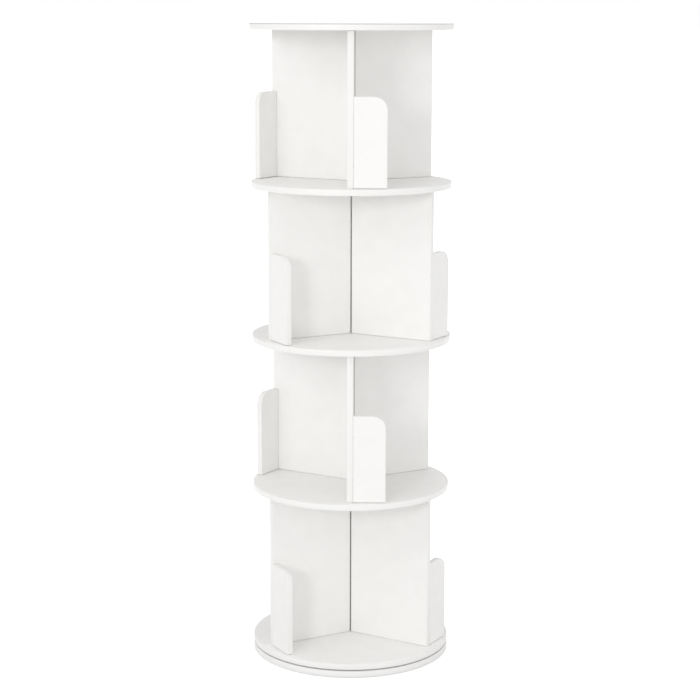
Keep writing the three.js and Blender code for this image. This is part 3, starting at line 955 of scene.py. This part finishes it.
# %% Make the balls and their cage
cage_low, cage_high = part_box("bearing_ball_cage")
ball_radius = (cage_high.z - cage_low.z) / 2
ball_count = 18
cage_half_width, cage_half_height, cage_corner = 0.6 * mm, 1.8 * mm, 0.3 * mm
bpy.ops.mesh.primitive_cube_add(size=ball_radius)
ball = started("ball")
pick(ball, "faces", lambda middle, normal: True)
bpy.ops.mesh.subdivide(number_cuts=5)
bpy.ops.transform.tosphere(value=1)
done(ball)
growth = ball_radius / ball.data.vertices[0].co.length
ball.scale = (growth, growth, growth)
smooth(coat(fix_place(ball), ball_steel), degrees=60)
balls = joined([copy_at(ball, "ball", out_along(360 * i / ball_count, ball_circle, ball_height))
                for i in range(ball_count)], "bearing_balls")
hand_over(balls, "ball_cage", "screw_steel")
cage = smooth(spun_ring("bearing_cage_nylon", ball_circle - cage_half_width, ball_circle + cage_half_width,
                        ball_height - cage_half_height, ball_height + cage_half_height, cage_corner, nylon))
hand_over(cage, "ball_cage", "cage_nylon", "bearing_ball_cage")
print("balls: %d of %.1f mm" % (ball_count, 2 * ball_radius / mm))

# %% [markdown]
# ## Feet and screw caps
# Four foam pads are stuck under the base. Each is a short cylinder whose lower edge has been
# pressed round by the weight, and a plane cuts off the thin film of its adhesive. The screws in
# the top disc are hidden under three white stick-on caps, thinner than a fingernail.

# %% Make the foot pads
pad_low, pad_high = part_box("foot_pad_a")
pad_radius = max(pad_high.x - pad_low.x, pad_high.y - pad_low.y) / 2
pad_ease = 0.5 * mm
film_level = pad_high.z - 0.25 * mm
bpy.ops.mesh.primitive_cylinder_add(vertices=48, radius=pad_radius, depth=pad_high.z,
                                    location=(0, 0, pad_high.z / 2))
pad = started("foot_pad")
pick(pad, "edges", lambda a, b: max(a.z, b.z) < hair)
bpy.ops.mesh.bevel(offset=pad_ease, segments=3, affect="EDGES")
bpy.ops.mesh.select_all(action="SELECT")
bpy.ops.mesh.bisect(plane_co=(0, 0, film_level), plane_no=(0, 0, 1))
done(pad)
coat(pad, foam)
coat(pad, cap_film, lambda middle, normal: middle.z > film_level + hair)
smooth(pad)
for letter in letters:
    low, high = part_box("foot_pad_" + letter)
    piece = copy_at(pad, "foot_pad_%s_foam" % letter, ((low.x + high.x) / 2, (low.y + high.y) / 2, 0))
    hand_over(piece, "base", "foot_foam", "foot_pad_" + letter)
print("feet: %.0f mm across" % (2 * pad_radius / mm))

# %% Make the screw caps
cap_radius = 6.5 * mm
cap_height = 0.35 * mm
cap_ease = 0.2 * mm
bpy.ops.mesh.primitive_cylinder_add(vertices=48, radius=cap_radius, depth=cap_height,
                                    location=(0, 0, cap_height / 2))
cap = started("screw_cap")
pick(cap, "edges", lambda a, b: min(a.z, b.z) > cap_height / 2)
bpy.ops.mesh.bevel(offset=cap_ease, segments=3, affect="EDGES")
done(cap)
smooth(coat(cap, cap_film))
for letter in "abc":
    place = head_place("top_screw_" + letter)
    place.z = upper_face["top_disc"]
    hand_over(copy_at(cap, "screw_cap_" + letter, place), "tower", "white_board")
print("screw caps: %.0f mm across" % (2 * cap_radius / mm))

# %% Clear the bench
patterns = [*dividers, stop_pattern, divider_pattern, dowel, divider_screw, divider_screw_hole,
            ring_screw, ring_screw_hole, ball, pad, cap]
for pattern in patterns:
    bpy.data.objects.remove(pattern)

# %% [markdown]
# ## The studio
# The photograph was taken in a white studio with even light from all round. One stronger lamp
# stands in front and to the left, which the soft shadows beside the left stops show, and weaker
# ones fill in from the upper left, the front right, the right and above. The world is pure white
# for the camera and in reflections, and a quarter weaker as a light on the tower. The floor glows
# for the camera and in reflections alone. It glows less close to the tower, so that the tower
# keeps its soft shadow there, and further out it fades into pure white.

# %% Floor and world
def seen_directly(tree):
    """1 for what the camera sees directly, in a mirror or through glass, and 0 for light on the tower."""
    path = tree.nodes.new("ShaderNodeLightPath")
    total = path.outputs["Is Camera Ray"]
    for name in ("Is Glossy Ray", "Is Transmission Ray"):
        add = tree.nodes.new("ShaderNodeMath")
        add.operation = "MAXIMUM"
        tree.links.new(total, add.inputs[0])
        tree.links.new(path.outputs[name], add.inputs[1])
        total = add.outputs[0]
    return total


floor_width, floor_level = 400, -0.1 * mm
glow_near, glow_far, near_reach, far_reach = 0.42, 1.0, 0.2, 0.9
bpy.ops.mesh.primitive_plane_add(size=floor_width, location=(0, 0, floor_level))
studio_floor = bpy.context.object
studio_floor.name = "studio_floor"
floor_finish = new_finish("pale_studio_floor", roughness=0.9)
place = place_on(floor_finish)
paint(floor_finish, cloud(floor_finish, place, scale=0.8), (0.78, 0.78, 0.78), (0.80, 0.80, 0.80))
shader_of(floor_finish).inputs["Emission Color"].default_value = (1, 1, 1, 1)
away = length_of(floor_finish, place)
glow = spread_to(floor_finish, away, glow_near, glow_far, near_reach, far_reach)
seen_glow = arithmetic(floor_finish, "MULTIPLY", seen_directly(floor_finish.node_tree), glow)
wire(floor_finish, seen_glow, "Emission Strength")
studio_floor.data.materials.append(floor_finish)

world_on_tower, world_seen = 0.75, 1.0
world = bpy.data.worlds.new("studio")
world.use_nodes = True
bpy.context.scene.world = world
strength = world.node_tree.nodes.new("ShaderNodeMapRange")
world.node_tree.links.new(seen_directly(world.node_tree), strength.inputs["Value"])
strength.inputs["To Min"].default_value = world_on_tower
strength.inputs["To Max"].default_value = world_seen
background = world.node_tree.nodes["Background"]
background.inputs["Color"].default_value = (1, 1, 1, 1)
world.node_tree.links.new(strength.outputs[0], background.inputs["Strength"])
print("floor and world are set")

# %% Lamps
lamp_aim = Vector((0, 0, 0.6))


def soft_lamp(name, place, width, height, power):
    """A large soft lamp that faces the tower."""
    lamp = bpy.data.lights.new(name, "AREA")
    lamp.shape = "RECTANGLE"
    lamp.size, lamp.size_y, lamp.energy = width, height, power
    holder = bpy.data.objects.new(name, lamp)
    bpy.context.scene.collection.objects.link(holder)
    holder.location = place
    holder.rotation_euler = (lamp_aim - Vector(place)).to_track_quat("-Z", "Y").to_euler()


soft_lamp("key_lamp", (-1.95, -4.75, 1.9), width=0.9, height=0.9, power=47.5)
soft_lamp("high_left_lamp", (-2.6, -2.4, 2.9), width=1.6, height=1.6, power=13.5)
soft_lamp("front_right_lamp", (1.7, -3.9, 1.3), width=1.4, height=1.8, power=8)
soft_lamp("right_lamp", (3.6, -0.8, 1.1), width=2.0, height=2.2, power=11.3)
soft_lamp("top_lamp", (0, -0.3, 3.4), width=2.0, height=2.0, power=6.6)
bpy.context.scene.view_settings.view_transform = "Standard"
print("lamps:", len(bpy.data.lights))
